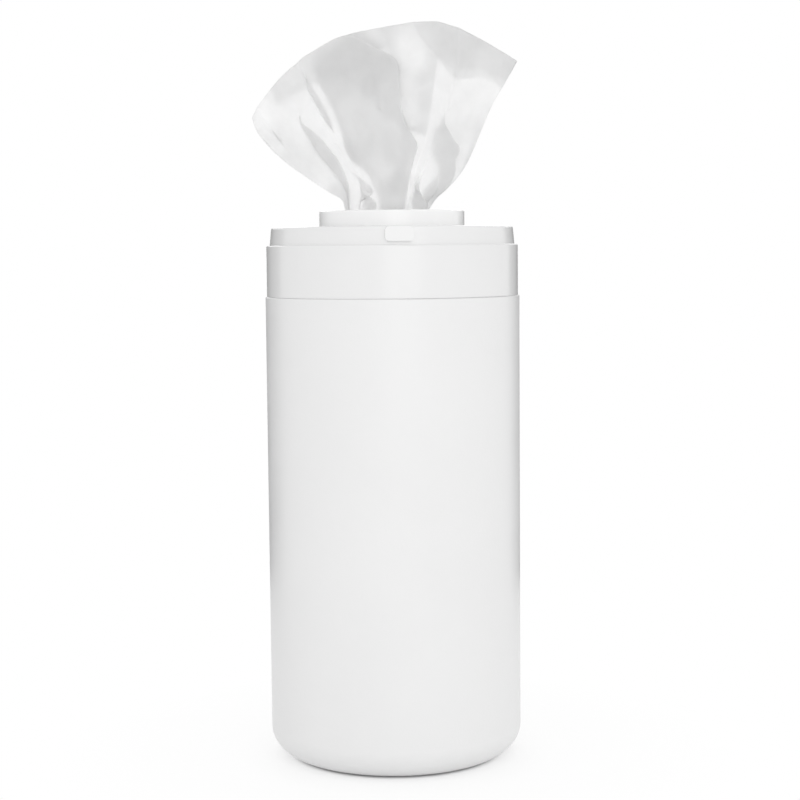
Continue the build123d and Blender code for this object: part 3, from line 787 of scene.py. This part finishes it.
# first and last fold line, gap to the cloth in front in millimetres, then for each line from first to
# last the share of its length where the free edge lies, and how far the free edge stands off
HEMS = (
    ("left ridge", "front fold", 0.4,
     (0.922, 0.919, 0.91, 0.887, 0.896, 0.889, 0.873, 0.877, 0.815, 0.598, 0.457),
     (4, 4, 4, 3.5, 3, 3, 1.5, 1.5, 0.5, 0.05, 0.05)),
    ("rear layer", "stripe", 0.4,
     (0.908, 0.908),
     (0.3, 0.3)),
    ("stripe", "right crease", 0.4,
     (0.516, 0.492),
     (0.2, 0.1)),
    ("right crease", "right edge", 0.4,
     (0.814, 0.796, 0.8, 0.788, 0.779, 0.783, 0.791, 0.785, 0.845, 0.868),
     (0.1,) * 10),
    ("right crease", "right edge", 0.8,
     (0.819, 0.827, 0.837, 0.828, 0.823, 0.827, 0.829, 0.825, 0.872, 0.9),
     (0.1,) * 10),
)
names = [name for name, _, _ in FOLD_LINES]
for first, last, gap, edge, stand_off in HEMS:
    stops = line_column[names.index(first):names.index(last) + 1]
    low, high = stops[0], stops[-1]
    hem = np.empty((high + 1 - low, HEM_ROWS + 1, 3))
    for column in range(low, high + 1):
        end = np.interp(column, stops, edge)
        hang = np.interp(column, stops, stand_off)
        for row in range(HEM_ROWS + 1):
            share = row / HEM_ROWS
            place = (HEM_TOP - (HEM_TOP - end) * share) * FAN_ROWS
            whole = min(int(place), FAN_ROWS - 1)
            spot = fan[column, whole] * (1 - place + whole) + fan[column, whole + 1] * (place - whole)
            hem[column - low, row] = spot + (0, gap + hang * share, 0)
    quads += grid(hem, len(verts))
    verts += listed(hem)
print("wipe:", len(verts), "points,", len(quads), "faces")


# %% [markdown]
# ## The wipe: its pieces
#
# The points become meshes. The cloth's thickness could be modelled as a second skin, point by point, but a
# Solidify modifier does that from one number. Both pieces ride with the sheet and stand for the source's
# wipe.

# %% Turn points and faces into a piece
WIPE_THICKNESS = 0.35  # millimetres


def smooth_piece(name, verts, quads, material):
    """A piece with smooth faces, from points in millimetres."""
    mesh = bpy.data.meshes.new(name)
    mesh.from_pydata([tuple(MM * value for value in vert) for vert in verts], [], quads)
    mesh.validate()
    mesh.polygons.foreach_set("use_smooth", [True] * len(mesh.polygons))
    mesh.materials.append(material)
    piece = bpy.data.objects.new(name, mesh)
    bpy.context.scene.collection.objects.link(piece)
    return piece


def cloth_piece(name, verts, quads, material):
    """A piece of cloth, with the wipe's thickness."""
    piece = smooth_piece(name, verts, quads, material)
    solid = piece.modifiers.new("thickness", "SOLIDIFY")
    solid.thickness = WIPE_THICKNESS * MM
    solid.offset = 0
    return piece


# %% The wipe's two pieces
wipe = cloth_piece("wipe_sheet", verts, quads, fan_cloth)
tail = cloth_piece("wipe_tail", listed(tail_points), grid(tail_points), wipe_cloth)
for piece in (wipe, tail):
    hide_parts("wipe")
    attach(piece, "sheet")
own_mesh(wipe)
print("made", wipe.name, "and", tail.name)

# %% [markdown]
# ## The next wipe
#
# Inside the canister the second wipe is already peeling off the inside of the roll. It could be a plain
# tube, because it hardly shows, but it is seen when the closure is lifted. It starts as the same pleated
# rope, just under the first wipe's perforation, and opens out into a pleated band that lies along the front
# of the roll's inside.

# %% Next wipe
NEXT_ROWS = 90
NEXT_PLEATS, COLUMNS_A_PLEAT = 22, 12
NEXT_COLUMNS = NEXT_PLEATS * COLUMNS_A_PLEAT
NEXT_ROPE_RADIUS = 5.5  # millimetres, as are the next five
PERFORATION_GAP = 0.35
BAND_Z = 44.1  # where it leaves the roll
BAND_RADIUS = 16.4
PLEAT_DEPTH = 1.6
BAND_UNEVENNESS = 0.25
BAND_FROM, BAND_TURN = -163, 146  # degrees round the roll's inside
next_low, next_high = NEXT_LOW[2] / MM, NEXT_HIGH[2] / MM
band = np.empty((NEXT_COLUMNS + 1, NEXT_ROWS + 1, 3))
for column in range(NEXT_COLUMNS + 1):
    u = column / NEXT_COLUMNS
    pleat = u * (count - 1)
    fold = int(min(pleat, count - 2))
    a, b = (gathered(place, count, NEXT_ROPE_RADIUS, ROPE_TWIST) for place in (fold, fold + 1))
    in_rope = [a[axis] * (1 - pleat + fold) + b[axis] * (pleat - fold) for axis in (0, 1)]
    angle = radians(BAND_FROM + BAND_TURN * u)
    wave = PLEAT_DEPTH * cos(2 * pi * NEXT_PLEATS * u)
    for row in range(NEXT_ROWS + 1):
        z = next_low + (next_high - PERFORATION_GAP - next_low) * row / NEXT_ROWS
        opened = min(1.0, max(0.0, (next_high - z) / (next_high - BAND_Z)))
        opened = opened * opened * (3 - 2 * opened)
        radius = BAND_RADIUS + wave + BAND_UNEVENNESS * noise.noise(Vector((u * 9, z * 0.05, 5)))
        x = in_rope[0] * (1 - opened) + radius * cos(angle) * opened
        y = in_rope[1] * (1 - opened) + radius * sin(angle) * opened
        band[column, row] = (x, y, z)
next_wipe = cloth_piece("next_wipe_sheet", listed(band), grid(band), wipe_cloth)
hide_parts("next_wipe")
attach(next_wipe, "sheet")
print("next wipe:", band.shape[0] * band.shape[1], "points")

# %% [markdown]
# ## The roll
#
# The roll has no core: it is one long strip, wound from the outside in, and used from the inside out. Its
# ends show the windings as a fine spiral, slightly uneven. The strip itself could be wound, but thirty-four
# turns of thin cloth are heavy, and only their ends show. So the roll is a ring whose height at each end
# follows a spiral groove: the groove's place depends on the radius and on the angle together.

# %% Roll
ROLL_TURNS = 34
ROLL_AROUND = 180
RINGS_A_TURN = 4  # of the mesh
ACROSS = ROLL_TURNS * RINGS_A_TURN
low, high = ROLL_LOW[2] / MM, ROLL_HIGH[2] / MM
outer, inner = ROLL_HIGH[0] / MM, 19.0
PITCH = (outer - inner) / ROLL_TURNS
# how far the ends lie in from the box, in millimetres: everywhere, in a groove, by chance, and at the rims
END_DIP, GROOVE_DEPTH, END_UNEVENNESS, RIM_DIP = 0.12, 0.45, 0.3, 0.9
OUTER_GROOVE = 0.15  # millimetres
profile = [("top", n) for n in range(ACROSS + 1)] + [("bottom", ACROSS - n) for n in range(ACROSS + 1)]
verts = []
for step in range(ROLL_AROUND):
    angle = 2 * pi * step / ROLL_AROUND
    for side, place in profile:
        radius = inner + (outer - inner) * place / ACROSS
        turn = (radius - inner) / PITCH - angle / (2 * pi)
        groove = 0.5 - 0.5 * cos(2 * pi * turn)
        rise = noise.noise(Vector((radius * 0.9, angle * 1.5, 2.0 if side == "top" else 9.0)))
        dip = END_DIP + GROOVE_DEPTH * (1 - groove) + END_UNEVENNESS * abs(rise)
        if place in (0, ACROSS):
            dip = RIM_DIP
        radius_out = radius - (OUTER_GROOVE * (1 - groove) if place == ACROSS else 0)
        z = high - dip if side == "top" else low + dip
        verts.append((radius_out * cos(angle), radius_out * sin(angle), z))
quads = []
ring = len(profile)
for step in range(ROLL_AROUND):
    for number in range(ring):
        a, b = step * ring + number, step * ring + (number + 1) % ring
        c, d = (a + ring) % len(verts), (b + ring) % len(verts)
        quads.append((a, b, d, c))
roll = smooth_piece("roll_of_wipes", verts, quads, wipe_cloth)
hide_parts("wipe_roll")
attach(roll, "base")
print("roll:", ROLL_TURNS, "turns,", len(verts), "points")
